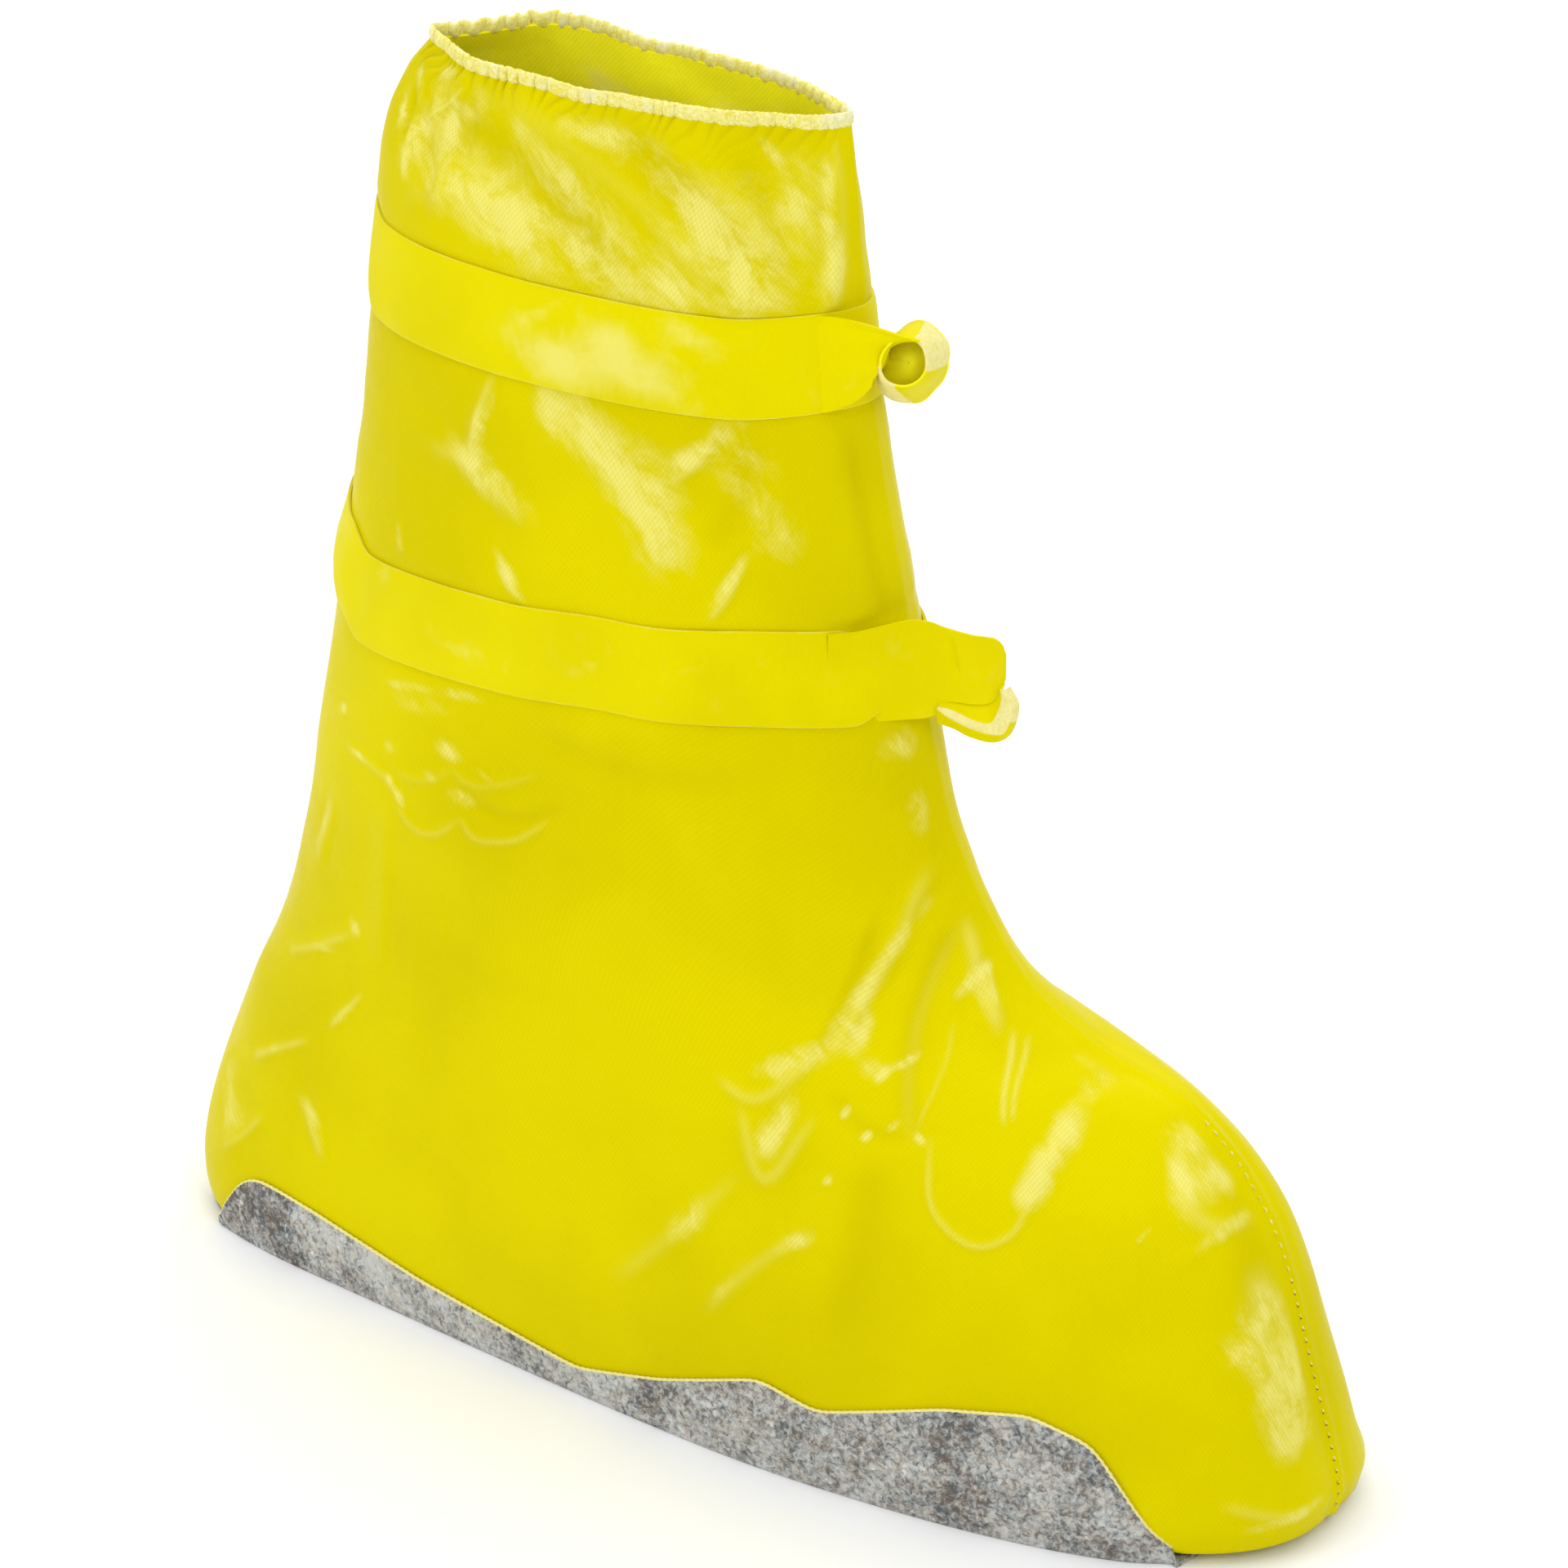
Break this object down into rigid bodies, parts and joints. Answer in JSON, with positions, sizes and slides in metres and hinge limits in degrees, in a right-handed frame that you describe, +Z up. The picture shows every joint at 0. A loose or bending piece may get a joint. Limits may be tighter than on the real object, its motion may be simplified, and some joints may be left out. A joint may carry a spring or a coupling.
{
  "type": "chemical boot cover",
  "caption": "Slip-over chemical boot cover: tall yellow film upper with front and back seams, grey turned-up nonwoven sole, elastic serged collar and tie straps knotted in front.",
  "frame": {"origin": "middle of the bounding box's underside, on the floor under the sole", "axes": "+X from heel to toe, +Y across the foot, +Z up the shaft"},
  "size_m": [0.4045, 0.1342, 0.397],
  "materials": {
    "yellow_film": "satin embossed film laminate",
    "yellow_strap": "matt woven-look laminate strap",
    "grey_nonwoven": "mottled fibrous nonwoven",
    "cream_serging": "overlocked elastic edge"
  },
  "bodies": {
    "root": {"upper": "yellow_film", "sole": "grey_nonwoven", "collar_hem": "cream_serging", "upper_tie": "yellow_strap", "upper_tie_knot": "yellow_strap", "upper_tie_loop": "yellow_strap", "lower_tie": "yellow_strap", "lower_tie_knot": "yellow_strap", "lower_tie_end_top": "yellow_strap", "lower_tie_end_low": "yellow_strap"}
  },
  "joints": []
}
